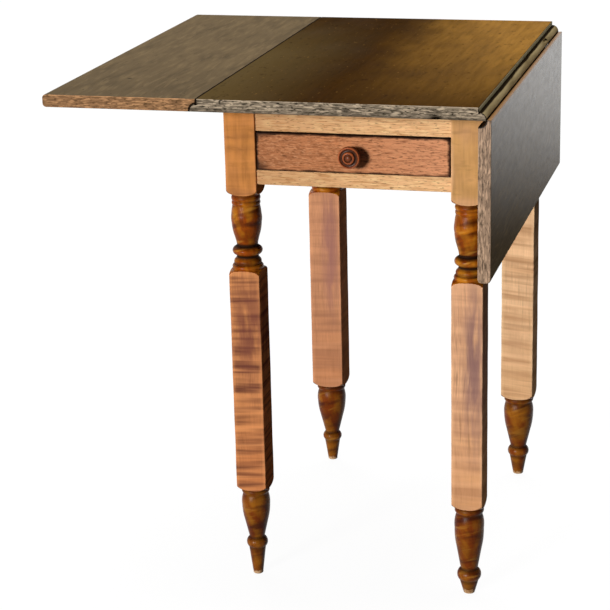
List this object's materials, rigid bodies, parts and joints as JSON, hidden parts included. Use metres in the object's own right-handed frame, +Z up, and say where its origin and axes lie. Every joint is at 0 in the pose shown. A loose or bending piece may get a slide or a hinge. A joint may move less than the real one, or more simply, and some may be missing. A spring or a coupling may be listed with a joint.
{
  "type": "drop-leaf pembroke table",
  "caption": "Drop-leaf pembroke table with turned legs, rule-jointed leaves, swinging fly brackets and a drawer.",
  "frame": {"origin": "on the floor, under the middle of the top", "axes": "+Z up, -Y out of the drawer front, +X to the right seen from the front"},
  "size_m": [0.6015, 0.662, 0.72],
  "materials": {
    "top_wood": "worn oil varnish, satin",
    "leg_wood": "amber varnish",
    "rail_wood": "amber varnish",
    "drawer_front_wood": "thin reddish varnish",
    "knob_wood": "dark varnish",
    "fly_wood": "bare, aged",
    "secondary_wood": "bare, aged",
    "wrought_iron": "dark, dull",
    "screw_iron": "dark, worn"
  },
  "bodies": {
    "frame": {"back_apron": "rail_wood", "drawer_stops": "secondary_wood", "front_lower_rail": "rail_wood", "front_upper_rail": "rail_wood", "glue_blocks": "secondary_wood", "left_apron": "secondary_wood", "left_fly_end": "fly_wood", "left_fly_pin": "wrought_iron", "left_fly_rail": "fly_wood", "left_fly_screws": "screw_iron", "left_guide": "secondary_wood", "left_hinge_pins": "wrought_iron", "left_hinge_top_plates": "wrought_iron", "left_hinge_top_screws": "screw_iron", "left_kicker": "secondary_wood", "left_kicker_screws": "screw_iron", "left_runner": "secondary_wood", "left_runner_screws": "screw_iron", "leg_back_left": "leg_wood", "leg_back_right": "leg_wood", "leg_front_left": "leg_wood", "leg_front_right": "leg_wood", "right_apron": "secondary_wood", "right_fly_end": "fly_wood", "right_fly_pin": "wrought_iron", "right_fly_rail": "fly_wood", "right_fly_screws": "screw_iron", "right_guide": "secondary_wood", "right_hinge_pins": "wrought_iron", "right_hinge_top_plates": "wrought_iron", "right_hinge_top_screws": "screw_iron", "right_kicker": "secondary_wood", "right_kicker_screws": "screw_iron", "right_runner": "secondary_wood", "right_runner_screws": "screw_iron", "top_board": "top_wood", "top_screws": "screw_iron"},
    "left_leaf": {"left_hinge_leaf_plates": "wrought_iron", "left_hinge_leaf_screws": "screw_iron", "left_leaf": "top_wood"},
    "right_leaf": {"right_hinge_leaf_plates": "wrought_iron", "right_hinge_leaf_screws": "screw_iron", "right_leaf": "top_wood"},
    "left_fly": {"left_fly_bracket": "fly_wood"},
    "right_fly": {"right_fly_bracket": "fly_wood"},
    "drawer": {"drawer_back": "secondary_wood", "drawer_bottom": "secondary_wood", "drawer_bottom_nails": "screw_iron", "drawer_front": "drawer_front_wood", "drawer_knob": "knob_wood", "drawer_left_side": "secondary_wood", "drawer_right_side": "secondary_wood"}
  },
  "joints": [
    {"name": "left_leaf_fold", "type": "hinge", "parent": "frame", "child": "left_leaf", "pos_m": [-0.186, 0, 0.7045], "axis": [0, 1, 0], "range_deg": [-90, 0]},
    {"name": "left_fly_swing", "type": "hinge", "parent": "frame", "child": "left_fly", "pos_m": [-0.1655, 0.05, 0.6724], "axis": [0, 0, -1], "range_deg": [0, 90]},
    {"name": "right_leaf_fold", "type": "hinge", "parent": "frame", "child": "right_leaf", "pos_m": [0.186, 0, 0.7045], "axis": [0, -1, 0], "range_deg": [0, 90]},
    {"name": "right_fly_swing", "type": "hinge", "parent": "frame", "child": "right_fly", "pos_m": [0.1655, 0.05, 0.6724], "axis": [0, 0, 1], "range_deg": [0, 2.8]},
    {"name": "drawer_slide", "type": "slide", "parent": "frame", "child": "drawer", "axis": [0, -1, 0], "range_m": [0, 0.3]}
  ]
}
